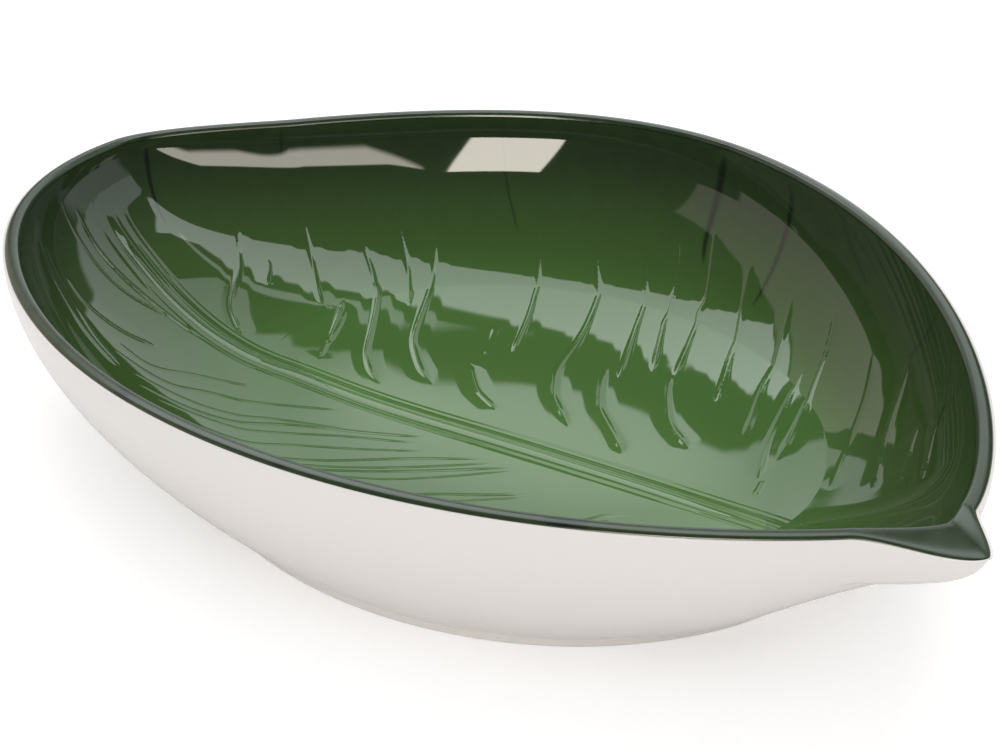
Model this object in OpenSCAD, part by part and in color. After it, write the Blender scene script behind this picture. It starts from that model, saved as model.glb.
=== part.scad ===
// Deep leaf shaped serving dish, moulded in two colours, with a leaf face inside.
// Lengths are millimetres. +X points to the stalk, +Z is up, and z = 0 is the table.

/* [Dish] */
// Length from the blunt end of the leaf to the end of the stalk
leaf_l = 280; // [220:1:340]
// Width across the two sides of the leaf
leaf_w = 198; // [150:1:250]
// Height of the rim above the table
dish_h = 46; // [36:1:60]

/* [Outline] */
// Sideways place of the blunt end, as a share of half the width
blunt_side_share = -0.17; // [-0.3:0.01:0.1]
// Sideways place of the stalk, as a share of half the width
stalk_side_share = -0.07; // [-0.2:0.01:0.2]
// Lengthwise place of the widest point of the far side, as a share of half the length
far_bulge_share = -0.13; // [-0.3:0.01:0.1]
// Lengthwise place of the widest point of the near side, as a share of half the length
near_bulge_share = -0.19; // [-0.35:0.01:0.1]

/* [Stalk] */
// Length of the stalk stub beyond the end of the leaf
stalk_l = 8; // [4:0.5:14]
// Length of rim that the stub takes up on the far side
stalk_far_w = 8; // [5:0.5:20]
// Length of rim that the stub takes up on the near side
stalk_near_w = 24; // [10:0.5:40]
// Drop of the end of the stub below the rim
stalk_dip = 4; // [0:0.5:6]
// Depth of the stub's underside below the rim
stalk_h = 15; // [12:0.5:20]

/* [Rim] */
// Width of the rim, which is also the thickness of the wall under it
rim_w = 4.2; // [3.6:0.1:6]
// Height of the coloured edge above the line where the two mouldings meet
parting_h = 1; // [0.6:0.1:1.6]
// Width by which the pale shell stands proud of the coloured edge
ledge_w = 0.6; // [0.3:0.1:1]
// Radius of the rim's inner edge
rim_round = 1.2; // [0.6:0.1:1.4]

/* [Layers] */
// Thickness of the coloured liner moulding
liner_t = 1.6; // [1:0.1:2]
// Thickness of the printed foil with its glaze
foil_t = 0.5; // [0.4:0.05:0.8]

/* [Floor] */
// Height of the middle of the floor above the table
floor_h = 4.8; // [4.4:0.1:7]
// Rise of the floor from its middle to the heel of the wall
floor_dish = 5.5; // [4:0.1:6.5]
// Distance from the foot's outer edge in to the heel of the inner wall
heel_inset = 12; // [9:0.5:16]
// Thickness of the whole floor through its three layers
floor_t = 3.5; // [3:0.1:3.9]

/* [Foot] */
// Length of the foot
foot_l = 174; // [140:1:205]
// Width of the foot
foot_w = 154; // [110:1:165]
// Sideways place of the foot's centre
foot_y = 3; // [-6:0.5:6]
// Height of the foot ring
foot_h = 2; // [1:0.1:3]
// Width of the foot ring's standing face
foot_ring_w = 4; // [2:0.5:7]
// Depth of the hollow just inside the foot ring
recess_h = 6; // [4:0.1:6.5]
// Width by which that hollow narrows over its depth
recess_draft = 1.5; // [0.5:0.1:3]

/* [Leaf relief] */
// Width of the midrib
midrib_w = 5; // [3:0.5:8]
// Height of the midrib above the floor
midrib_h = 0.7; // [0.3:0.1:1.2]
// Height of the side veins above the floor
vein_h = 0.6; // [0.2:0.1:1]
// Number of side veins on each half of the leaf
vein_count = 14; // [10:1:15]

/* [Hidden] */

half_l = leaf_l / 2;
half_w = leaf_w / 2;
body_end = half_l - stalk_l;

// Points on the rim between one vein and the next
vein_step = 4;
side_points = vein_count * vein_step;
ring_points = 2 * side_points;
// Crowding of the points of a side towards the stalk
crowd_share = 1.5;

// Corners of the outline: blunt end, far side, stalk end and near side
blunt_end = [-half_l, blunt_side_share * half_w];
far_side = [far_bulge_share * half_l, half_w];
stalk_end = [body_end, stalk_side_share * half_w];
near_side = [near_bulge_share * half_l, -half_w];
// Shoulder between the far side and the blunt end, as shares of half the length and half the width
shoulder_shares = [-0.84, 0.26];
shoulder = [shoulder_shares[0] * half_l, shoulder_shares[1] * half_w];
// Direction of the rim at the shoulder
shoulder_turn = 59;
// How far each stretch of the outline runs on straight before it bends, at its two ends,
// as shares of the distance between its ends along that direction
far_stalk_shares = [0.22, 0.54];
far_back_shares = [0.46, 0.35];
far_blunt_shares = [0.15, 0.3];
near_stalk_shares = [0.11, 0.62];
near_blunt_shares = [0.45, 0.65];

// Outer wall from the foot to the rim, as shares of its overhang and height
wall_shares = [[0, 0], [0.06, 0.02], [1, 0.41], [1, 1]];
// Inner wall from the rim to the floor, as shares of its overhang and depth
inner_shares = [[1, 1], [0.95, 0.38], [0.3, 0.09], [0, 0]];
// How late the floor rises between its middle and the heel
dish_power = 3;
// Hollow of the wall under the stalk, as a share of the overhang
tuck_share = 0.2;
// Half of the rim length over which that hollow fades out
tuck_reach = 0.18 * leaf_l;
// Squareness of the stub's underside
stub_power = 5;
// Turn of the veins where they cross the heel
vein_sweep = 12;
// How the roots of the veins crowd towards the stalk
root_power = 1.6;
// Course of the midrib on the floor, as shares of half the length and half the width
midrib_shares = [[0.44, 0.12], [0.22, 0.1], [-0.14, -0.15], [-0.46, -0.16]];
// Bluntness of the midrib's two ends
midrib_power = 4;
// Sag of the rim's inner edge at the stalk, as a share of the stub's dip, and how fast
// that sag fades down the inner wall
inner_sag_share = 1 / 3;
inner_sag_power = 4;
// How late the veins rise down the wall, how late they die out on the floor, and by which share
vein_wall_power = 2;
vein_floor_power = 3;
vein_loss_share = 0.7;
// How sharply the veins fade out at the two ends of the leaf
vein_end_power = 0.5;
// Rise of a vein across its own step, from its crest to the next
vein_shares = [1, 0.4, 0, 0.4];
// Extra depth of a cut
over = 1;
// Centre of the foot
foot_centre = [(body_end - half_l) / 2, foot_y];
// Places of the outer wall's rings along its curve, closer together under the stalk
outer_stop_shares = [0, 0.15, 0.3, 0.45, 0.6, 0.7, 0.76, 0.8, 0.83, 0.88, 0.94, 1];
// Faces over the depth of the inner walls, over the floor and round the rim's edges
wall_steps = 8;
floor_steps = 6;
joint_wall_steps = 5;
joint_floor_steps = 3;
round_steps = 3;

// Point on a curve with four control points
function bend(p, t) =
    pow(1 - t, 3) * p[0] + 3 * pow(1 - t, 2) * t * p[1] + 3 * (1 - t) * t * t * p[2] + pow(t, 3) * p[3];
function mix(a, b, share) = a * (1 - share) + b * share;
function turned(p) = [p[1], -p[0]];

// Curve from a point that leaves lengthwise or sideways to one that arrives the other way
function corner(from, to, shares, sideways_first) =
    let (span = to - from,
         first = sideways_first ? [0, span[1]] : [span[0], 0],
         second = span - first)
    [from, from + shares[0] * first, to - shares[1] * second, to];

// Stretches of the two sides, from the stalk to the blunt end
shoulder_way = [cos(shoulder_turn), sin(shoulder_turn)];
far_course = [
    corner(stalk_end, far_side, far_stalk_shares, true),
    [far_side,
     far_side + far_back_shares[0] * [shoulder[0] - far_side[0], 0],
     shoulder + far_back_shares[1] * norm(far_side - shoulder) * shoulder_way,
     shoulder],
    [shoulder,
     shoulder - far_blunt_shares[0] * norm(shoulder - blunt_end) * shoulder_way,
     blunt_end + far_blunt_shares[1] * [0, shoulder[1] - blunt_end[1]],
     blunt_end]];
near_course = [
    corner(stalk_end, near_side, near_stalk_shares, true),
    corner(near_side, blunt_end, near_blunt_shares, false)];
// Shares of a side's points at which its stretches end
far_stop_shares = [0, 0.5, 0.82, 1];
near_stop_shares = [0, 0.5, 1];

// Point of a side at a share u of its points, crowded towards the stalk on the first stretch
function side(u, course, stops, k = 0) =
    u > stops[k + 1]
        ? side(u, course, stops, k + 1)
        : let (t = (u - stops[k]) / (stops[k + 1] - stops[k])) bend(course[k], k == 0 ? pow(t, crowd_share) : t);

// The leaf without its stalk, counter-clockwise from the stalk
leaf = [for (i = [0:ring_points - 1])
    i <= side_points
        ? side(i / side_points, far_course, far_stop_shares)
        : side((ring_points - i) / side_points, near_course, near_stop_shares)];

// Rim length from the stalk to each point, the short way round
function far_run(i, sum = 0) = i == 0 ? sum : far_run(i - 1, sum + norm(leaf[i] - leaf[i - 1]));
function near_run(i, sum = 0) =
    i == ring_points ? sum : near_run(i + 1, sum + norm(leaf[i] - leaf[(i + 1) % ring_points]));
run = [for (i = [0:ring_points - 1]) i <= side_points ? far_run(i) : near_run(i)];

// Smooth hump that is 1 at the stalk and 0 at a reach along the rim
function hump(length, reach) = length < reach ? (1 + cos(180 * length / reach)) / 2 : 0;
stub = [for (i = [0:ring_points - 1]) hump(run[i], i < side_points ? stalk_far_w : stalk_near_w)];
tuck = [for (i = [0:ring_points - 1]) tuck_share * hump(run[i], tuck_reach)];

// The whole outline with the stalk, full or drawn in by a share
function stalked(share) = [for (i = [0:ring_points - 1]) leaf[i] + [share * stalk_l * stub[i], 0]];
// A closed outline moved inward
function inset(p, distance) = [for (i = [0:len(p) - 1])
    let (along = p[(i + 1) % len(p)] - p[(i + len(p) - 1) % len(p)])
    p[i] - distance * turned(along) / norm(along)];
function level(p, z) = [for (q = p) [q[0], q[1], z]];
// Height of the glazed floor at a point: a shallow bowl about the foot's centre
heel_reach = [foot_l / 2 - heel_inset, foot_w / 2 - heel_inset];
function floor_z(q) =
    let (off = q - foot_centre)
    floor_h + floor_dish * pow(norm([off[0] / heel_reach[0], off[1] / heel_reach[1]]), dish_power);
function on_floor(p, rise) = [for (q = p) [q[0], q[1], floor_z(q) + rise]];
function sagging(p, z, share) = [for (i = [0:len(p) - 1]) [p[i][0], p[i][1], z - share * stalk_dip * stub[i]]];

// Oval about the foot's centre, with each point opposite its point of the outline
function oval(p, shrink, sweep) = [for (q = p)
    let (rx = foot_l / 2 - shrink,
         ry = foot_w / 2 - shrink,
         seen = atan2((q[1] - foot_centre[1]) / ry, (q[0] - foot_centre[0]) / rx),
         a = seen - sweep * sin(seen))
    foot_centre + [rx * cos(a), ry * sin(a)]];

// Ring between an upper and a lower outline, at a share of the overhang, hollowed under the stalk
function between(lower, upper, share) = [for (i = [0:ring_points - 1])
    mix(lower[i], upper[i], share - tuck[i] * 4 * share * (1 - share))];
// Share of the stub that is left at a depth below the rim
function stub_left(depth) = depth < stalk_h ? pow(1 - pow(depth / stalk_h, stub_power), 1 / stub_power) : 0;

// Rings of the outer wall, from the foot up to the parting line
foot_edge = oval(leaf, 0, 0);
parting_z = dish_h - parting_h;
outer_wall = [for (stop = outer_stop_shares)
    let (p = bend(wall_shares, stop),
         z = foot_h + p[1] * (parting_z - foot_h),
         ring = between(foot_edge, leaf, p[0]),
         left = stub_left(dish_h - z))
    [for (i = [0:ring_points - 1])
        [ring[i][0] + left * stalk_l * stub[i], ring[i][1], min(z, parting_z - stalk_dip * stub[i])]]];

// Course of the midrib as a closed band, and the same band opened to a given half width
function midrib_band(half) = [for (i = [0:ring_points - 1])
    let (u = (i <= side_points ? i : ring_points - i) / side_points,
         t = pow(u, root_power),
         course = [for (q = midrib_shares) [q[0] * half_l, q[1] * half_w]],
         along = bend(course, min(t + 1 / side_points, 1)) - bend(course, max(t - 1 / side_points, 0)),
         taper = sqrt(max(0, 1 - pow(2 * u - 1, midrib_power))),
         way = i <= side_points ? 1 : -1)
    bend(course, t) + way * half * taper * turned(along) / norm(along)];

// Rings of an inner face, from the rim down the wall and over the floor to the midrib.
// Each face lies a depth below the glazed one.
function face_rings(depth, top_z, walls, floors) =
    let (edge = inset(leaf, rim_w - depth),
         heel = oval(leaf, heel_inset - depth, vein_sweep),
         band = midrib_band(midrib_w / 2 + midrib_h))
    concat(
        [for (k = [0:walls])
            let (p = bend(inner_shares, k / walls),
                 ring = between(heel, edge, p[0]),
                 sag = inner_sag_share * pow(p[1], inner_sag_power) * stalk_dip)
            [for (i = [0:ring_points - 1])
                [ring[i][0], ring[i][1], mix(floor_z(heel[i]) - depth, top_z, p[1]) - sag * stub[i]]]],
        [for (k = [1:floors])
            on_floor([for (i = [0:ring_points - 1]) mix(heel[i], band[i], k / floors)], -depth)]);

edge_z = dish_h - rim_round;
glazed = face_rings(0, edge_z, wall_steps, floor_steps);
bed = face_rings(foil_t, edge_z - foil_t / 2, wall_steps, floor_steps);
joint = face_rings(foil_t + liner_t, parting_z, joint_wall_steps, joint_floor_steps);

// Raise of the veins on a ring: it grows down the wall and dies out at the midrib
function vein_rise(k) =
    k < wall_steps
        ? pow(k / wall_steps, vein_wall_power)
        : 1 - vein_loss_share * pow((k - wall_steps) / floor_steps, vein_floor_power);
function lean(k) = k < wall_steps ? 1 - k / wall_steps : 0;
function vein_fade(i) = pow(abs(sin(180 * i / side_points)), vein_end_power);
veined = [for (k = [0:len(glazed) - 1])
    [for (i = [0:ring_points - 1])
        let (rise = vein_h * vein_rise(k) * vein_fade(i) * vein_shares[i % vein_step],
             out = [glazed[k][i][0] - foot_centre[0], glazed[k][i][1] - foot_centre[1]] / leaf_w)
        glazed[k][i] + rise * [-out[0] * lean(k), -out[1] * lean(k), 1]]];
rib_top = on_floor(midrib_band(midrib_w / 2), midrib_h);

// Faces of a strip between two neighbouring rings. A face that two pieces share is cut
// along the same diagonals in both: rings run inward in one and outward in the other.
function strip(a, b, outward) = [for (i = [0:ring_points - 1], f = [0, 1])
    let (j = (i + 1) % ring_points)
    outward
        ? (f == 0 ? [a + i, b + i, a + j] : [b + i, b + j, a + j])
        : (f == 0 ? [a + i, b + i, b + j] : [a + i, b + j, a + j])];
// Faces between the two sides of the midrib
function closing(a, up) = [for (i = [0:side_points - 1], f = [0, 1])
    let (j = (ring_points - i) % ring_points,
         k = ring_points - i - 1,
         face = f == 0 ? [a + i, a + j, a + k] : [a + i, a + k, a + i + 1])
    if (face[0] != face[1] && face[1] != face[2]) up ? face : [face[2], face[1], face[0]]];

// Closed solid through a run of rings, from a bottom ring to a top ring. The first few
// strips can be ones that run outward over a face that another piece owns.
module lofted(rings, outward_strips = 0) {
    last = (len(rings) - 1) * ring_points;
    polyhedron(
        points = [for (ring = rings) each ring],
        faces = concat(
            closing(0, false),
            [for (k = [0:len(rings) - 2])
                each strip(k * ring_points, (k + 1) * ring_points, k < outward_strips)],
            closing(last, true)),
        convexity = 6);
}

function reversed(list) = [for (i = [len(list) - 1:-1:0]) list[i]];

// Pale outer moulding with the foot ring, the wall and the underside of the stalk
module outer_shell() {
    ring_inner = oval(leaf, foot_ring_w, 0);
    recess_edge = oval(leaf, foot_ring_w + recess_draft, 0);
    heel = oval(leaf, heel_inset, vein_sweep);
    band = midrib_band(midrib_w / 2 + midrib_h);
    color([0.93, 0.91, 0.88])
        difference() {
            lofted(concat(
                [for (k = [joint_floor_steps:-1:0])
                    on_floor([for (i = [0:ring_points - 1]) mix(heel[i], band[i], k / joint_floor_steps)],
                             -floor_t)],
                [level(recess_edge, recess_h),
                 level(ring_inner, 0),
                 level(ring_inner, -over),
                 level(foot_edge, -over)],
                outer_wall,
                [sagging(inset(stalked(1), ledge_w), parting_z, 1)],
                joint));
            translate([-leaf_l, -leaf_w, -2 * over])
                cube([2 * leaf_l, 2 * leaf_w, 2 * over]);
        }
}

// Dark green inner moulding: the rim, the top of the stalk and the bed of the foil
module leaf_liner() {
    outer_edge = stalked(1);
    inner_edge = inset(leaf, rim_w);
    color([0.16, 0.25, 0.15])
        lofted(concat(
            reversed(joint),
            [sagging(inset(outer_edge, ledge_w), parting_z, 1)],
            [for (k = [1:round_steps])
                let (a = 90 * k / round_steps)
                sagging(inset(outer_edge, ledge_w + parting_h * (1 - cos(a))), parting_z + parting_h * sin(a), 1)],
            [for (k = [0:round_steps - 1])
                let (a = 90 * k / round_steps)
                sagging(inset(leaf, rim_w - rim_round * (1 - sin(a))), edge_z + rim_round * cos(a), inner_sag_share)],
            [glazed[0]],
            bed), outward_strips = len(joint));
}

// Printed leaf foil under its glaze, with the raised midrib and side veins
module decor_foil() {
    color([0.27, 0.47, 0.2])
        lofted(concat(reversed(bed), veined, [rib_top]), outward_strips = len(bed));
}

outer_shell();
leaf_liner();
decor_foil();
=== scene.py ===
"""Deep leaf shaped serving dish, moulded in two colours.

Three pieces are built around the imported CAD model: the pale outer shell, the dark green
liner with its rim and stalk, and the printed leaf face with its raised veins. The script
also lays the floor, sets up the light and its reflections, and places the camera. Lengths
are metres.
"""

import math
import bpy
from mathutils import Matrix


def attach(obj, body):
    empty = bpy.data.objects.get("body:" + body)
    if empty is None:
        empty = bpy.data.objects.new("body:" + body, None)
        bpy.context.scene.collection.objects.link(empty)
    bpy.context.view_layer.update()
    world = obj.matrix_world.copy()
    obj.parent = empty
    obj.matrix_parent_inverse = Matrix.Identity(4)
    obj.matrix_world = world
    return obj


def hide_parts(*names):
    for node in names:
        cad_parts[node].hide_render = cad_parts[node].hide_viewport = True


bl_info = {
    "name": "Leaf Shaped Dish",
    "version": (1, 0, 0),
    "blender": (4, 5, 0),
    "location": "3D View > Sidebar > Leaf Dish",
    "description": "Builds a deep leaf shaped serving dish with an embossed leaf face",
    "category": "Add Mesh",
}

import bpy
import numpy as np
from bpy.props import FloatProperty, FloatVectorProperty, PointerProperty
from bpy.types import Operator, Panel, PropertyGroup
from mathutils import Vector

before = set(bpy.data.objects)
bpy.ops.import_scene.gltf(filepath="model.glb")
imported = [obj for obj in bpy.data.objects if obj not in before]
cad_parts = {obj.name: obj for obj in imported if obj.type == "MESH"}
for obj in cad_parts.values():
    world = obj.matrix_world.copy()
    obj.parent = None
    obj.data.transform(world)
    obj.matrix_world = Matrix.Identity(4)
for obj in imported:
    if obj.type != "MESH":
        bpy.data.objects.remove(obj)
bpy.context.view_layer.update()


# Sizes and colours

class LEAFDISH_PG_form(PropertyGroup):
    """Sizes of the dish"""

    length: FloatProperty(
        name="Length", description="From the blunt end of the leaf to the end of the stalk",
        default=0.280, min=0.1, unit="LENGTH")
    width: FloatProperty(
        name="Width", description="Across the two sides of the leaf",
        default=0.198, min=0.1, unit="LENGTH")
    height: FloatProperty(
        name="Height", description="From the table to the top of the rim",
        default=0.046, min=0.03, unit="LENGTH")
    stalk_length: FloatProperty(
        name="Stalk Length", description="Length of the stub beyond the end of the leaf",
        default=0.008, min=0.0, unit="LENGTH")
    stalk_far_run: FloatProperty(
        name="Stalk Far Side", description="Length of rim that the stub takes up on the far side",
        default=0.008, min=0.001, unit="LENGTH")
    stalk_near_run: FloatProperty(
        name="Stalk Near Side", description="Length of rim that the stub takes up on the near side",
        default=0.024, min=0.001, unit="LENGTH")
    stalk_dip: FloatProperty(
        name="Stalk Dip", description="Drop of the end of the stub below the rim",
        default=0.004, min=0.0, unit="LENGTH")
    stalk_depth: FloatProperty(
        name="Stalk Depth", description="Depth of the stub's underside below the rim",
        default=0.015, min=0.001, unit="LENGTH")
    rim_width: FloatProperty(
        name="Rim Width", description="Width of the top of the wall",
        default=0.0042, min=0.001, unit="LENGTH")
    rim_round: FloatProperty(
        name="Rim Rounding", description="Radius of the rim's inner edge",
        default=0.0012, min=0.0001, unit="LENGTH")
    parting: FloatProperty(
        name="Green Edge", description="Height of the green edge above the parting line",
        default=0.001, min=0.0001, unit="LENGTH")
    ledge: FloatProperty(
        name="Ledge", description="Width by which the pale shell stands proud of the green edge",
        default=0.0006, min=0.0, unit="LENGTH")
    liner: FloatProperty(
        name="Liner Thickness", description="Thickness of the green moulding",
        default=0.0016, min=0.0001, unit="LENGTH")
    foil: FloatProperty(
        name="Foil Thickness", description="Thickness of the printed foil with its glaze",
        default=0.0005, min=0.0001, unit="LENGTH")
    floor: FloatProperty(
        name="Floor Height", description="Height of the middle of the floor above the table",
        default=0.0048, min=0.001, unit="LENGTH")
    dishing: FloatProperty(
        name="Floor Dishing", description="Rise of the floor from its middle to the heel",
        default=0.0055, min=0.0, unit="LENGTH")
    heel_inset: FloatProperty(
        name="Heel Inset", description="From the foot's outer edge in to the heel of the inner wall",
        default=0.012, min=0.001, unit="LENGTH")
    floor_thickness: FloatProperty(
        name="Floor Thickness", description="Thickness of the whole floor",
        default=0.0035, min=0.001, unit="LENGTH")
    foot_length: FloatProperty(
        name="Foot Length", description="Length of the foot",
        default=0.174, min=0.05, unit="LENGTH")
    foot_width: FloatProperty(
        name="Foot Width", description="Width of the foot",
        default=0.154, min=0.05, unit="LENGTH")
    foot_side: FloatProperty(
        name="Foot Offset", description="Sideways place of the foot's centre",
        default=0.003, unit="LENGTH")
    foot_height: FloatProperty(
        name="Foot Height", description="Height of the foot ring",
        default=0.002, min=0.0005, unit="LENGTH")
    foot_ring: FloatProperty(
        name="Foot Ring", description="Width of the foot ring's standing face",
        default=0.004, min=0.001, unit="LENGTH")
    recess: FloatProperty(
        name="Recess", description="Depth of the hollow just inside the foot ring",
        default=0.006, min=0.0, unit="LENGTH")
    recess_draft: FloatProperty(
        name="Recess Draft", description="Width by which that hollow narrows over its depth",
        default=0.0015, min=0.0, unit="LENGTH")
    edge_round: FloatProperty(
        name="Edge Rounding", description="Radius of the shell's small edges",
        default=0.0005, min=0.0001, unit="LENGTH")


class LEAFDISH_PG_relief(PropertyGroup):
    """Sizes of the embossed leaf"""

    midrib_width: FloatProperty(
        name="Midrib Width", description="Width of the midrib",
        default=0.0064, min=0.001, unit="LENGTH")
    midrib_height: FloatProperty(
        name="Midrib Height", description="Height of the midrib above the floor",
        default=0.0005, min=0.0, unit="LENGTH")
    vein_height: FloatProperty(
        name="Vein Height", description="Height of a plain side vein",
        default=0.00024, min=0.0, unit="LENGTH")
    vein_half: FloatProperty(
        name="Vein Half Width", description="From the crest of a plain side vein to its foot",
        default=0.0011, min=0.0001, unit="LENGTH")
    swell_height: FloatProperty(
        name="Swell Height", description="Height of the soft swelling about a main vein",
        default=0.00007, min=0.0, unit="LENGTH")
    swell_half: FloatProperty(
        name="Swell Half Width", description="From the crest of a swelling to its foot",
        default=0.0045, min=0.0001, unit="LENGTH")
    fold_half: FloatProperty(
        name="Fold Half Width", description="Half width of a plain dark fold of the foil",
        default=0.0012, min=0.0001, unit="LENGTH")


class LEAFDISH_PG_finish(PropertyGroup):
    """Colours and gloss"""

    shell: FloatVectorProperty(
        name="Shell", description="Colour of the outer shell",
        subtype="COLOR", size=3, min=0.0, max=1.0, default=(0.79, 0.75, 0.72))
    leaf_edge: FloatVectorProperty(
        name="Leaf Edge", description="Green of the rim",
        subtype="COLOR", size=3, min=0.0, max=1.0, default=(0.022, 0.036, 0.016))
    leaf_wall: FloatVectorProperty(
        name="Leaf Wall", description="Green of the wall",
        subtype="COLOR", size=3, min=0.0, max=1.0, default=(0.043, 0.085, 0.022))
    leaf_heart: FloatVectorProperty(
        name="Leaf Heart", description="Green of the middle of the leaf",
        subtype="COLOR", size=3, min=0.0, max=1.0, default=(0.066, 0.150, 0.034))
    leaf_middle: FloatVectorProperty(
        name="Leaf Middle", description="Green beside the midrib",
        subtype="COLOR", size=3, min=0.0, max=1.0, default=(0.090, 0.195, 0.045))
    gloss: FloatProperty(
        name="Green Roughness", description="Roughness of the green glaze",
        subtype="FACTOR", default=0.035, min=0.0, max=1.0)
    rim_gloss: FloatProperty(
        name="Rim Roughness", description="Roughness of the unglazed green rim",
        subtype="FACTOR", default=0.22, min=0.0, max=1.0)
    shell_gloss: FloatProperty(
        name="Shell Roughness", description="Roughness of the pale shell",
        subtype="FACTOR", default=0.22, min=0.0, max=1.0)


class LEAFDISH_PG_stage(PropertyGroup):
    """Floor, lamps and camera"""

    azimuth: FloatProperty(
        name="Camera Azimuth", description="Direction of the camera round the dish",
        subtype="ANGLE", default=math.radians(46.3))
    elevation: FloatProperty(
        name="Camera Elevation", description="Height of the camera above the horizon",
        subtype="ANGLE", default=math.radians(29.0))
    distance: FloatProperty(
        name="Camera Distance", description="From the camera to its target",
        default=0.7143, min=0.1, unit="LENGTH")
    target: FloatVectorProperty(
        name="Camera Target", description="Point that the camera looks at",
        subtype="XYZ", size=3, unit="LENGTH", default=(-0.0083, -0.0033, 0.0230))
    lens: FloatProperty(
        name="Lens", description="Focal length in millimetres",
        subtype="DISTANCE_CAMERA", default=108.0, min=10.0)
    daylight: FloatProperty(
        name="Daylight", description="Strength of the even light from all round",
        default=0.76, min=0.0)
    floor: FloatVectorProperty(
        name="Floor", description="Colour of the floor",
        subtype="COLOR", size=3, min=0.0, max=1.0, default=(0.94, 0.94, 0.94))


class LEAFDISH_PG_all(PropertyGroup):
    """Everything that the panel shows"""

    form: PointerProperty(type=LEAFDISH_PG_form)
    relief: PointerProperty(type=LEAFDISH_PG_relief)
    finish: PointerProperty(type=LEAFDISH_PG_finish)
    stage: PointerProperty(type=LEAFDISH_PG_stage)


# Outlines of the leaf

# Corners of the outline, as shares of half the length and half the width: the sideways places of
# its two ends, the lengthways places of its two sides, and the shoulder beside the blunt end
BLUNT_SIDE = -0.17
STALK_SIDE = -0.07
FAR_BULGE = -0.13
NEAR_BULGE = -0.19
SHOULDER = (-0.84, 0.26)
SHOULDER_TURN = math.radians(59)
# How far each stretch runs straight on before it bends, at its two ends, and the shares of a side
# at which the stretches meet
FAR_STALK, FAR_BACK, FAR_BLUNT = (0.22, 0.54), (0.46, 0.35), (0.15, 0.3)
NEAR_STALK, NEAR_BLUNT = (0.11, 0.62), (0.45, 0.65)
FAR_STOPS, NEAR_STOPS = (0, 0.5, 0.82, 1), (0, 0.5, 1)
# Crowding of the points of a side towards the stalk
CROWD = 1.5

# Profiles of the walls, as shares of their overhang and height
OUTER_WALL = ((0, 0), (0.06, 0.02), (1, 0.41), (1, 1))
INNER_WALL = ((1, 1), (0.95, 0.38), (0.3, 0.09), (0, 0))
# Hollow of both walls under the stalk: its depth as a share of the overhang, and its reach along
# the rim as a share of the length
TUCK, TUCK_REACH = 0.2, 0.18
# How blunt the stub is from above, and how square from the side
STUB_BLUNTNESS, STUB_POWER = 0.8, 5
# How late the floor rises towards the heel, and how late the midrib narrows to its ends
DISH_POWER, MIDRIB_POWER = 3, 4
# Share of the stalk's dip that reaches the inner edge of the rim, and how soon it fades down the wall
RIM_SAG, SAG_POWER = 1 / 3, 4
# Turn of the columns where they cross the heel, and how their roots crowd to the stalk
SWEEP = math.radians(12)
ROOT_POWER = 1.6
# Course of the midrib, as shares of half the length and half the width
MIDRIB = ((0.485, 0.09), (0.22, 0.12), (-0.14, -0.06), (-0.45, -0.20))

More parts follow.
